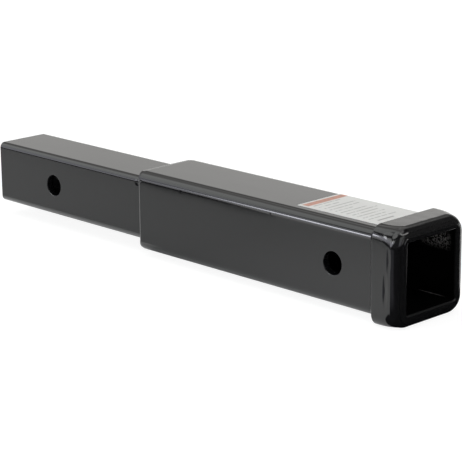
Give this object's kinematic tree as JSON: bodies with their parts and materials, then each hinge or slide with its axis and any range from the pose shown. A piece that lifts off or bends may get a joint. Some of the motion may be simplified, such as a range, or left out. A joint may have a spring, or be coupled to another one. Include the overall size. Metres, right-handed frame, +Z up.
{
  "type": "hitch receiver extender",
  "caption": "Welded square-tube extender for a hitch receiver: a narrow shank at one end, a wider socket with a rounded collar at the other, and a pin hole through each.",
  "frame": {"origin": "centre of the pin hole through the shank, on the tubes' common axis", "axes": "+X along the tubes from the shank's free end towards the socket's mouth, +Y along the pin holes, +Z up"},
  "size_m": [0.4572, 0.073, 0.073],
  "materials": {
    "coated_tube": "gloss black powder coat with a faint orange peel",
    "coated_collar": "gloss black powder coat, a little wavy",
    "coated_weld": "gloss black powder coat over weld ripples",
    "label_film": "matte printed film with plain fields of colour"
  },
  "bodies": {
    "root": {"shank_tube": "coated_tube", "sleeve_tube": "coated_tube", "mouth_collar": "coated_collar", "mouth_weld": "coated_weld", "sleeve_rear_weld": "coated_weld", "collar_rear_weld": "coated_weld", "label": "label_film"}
  },
  "joints": []
}
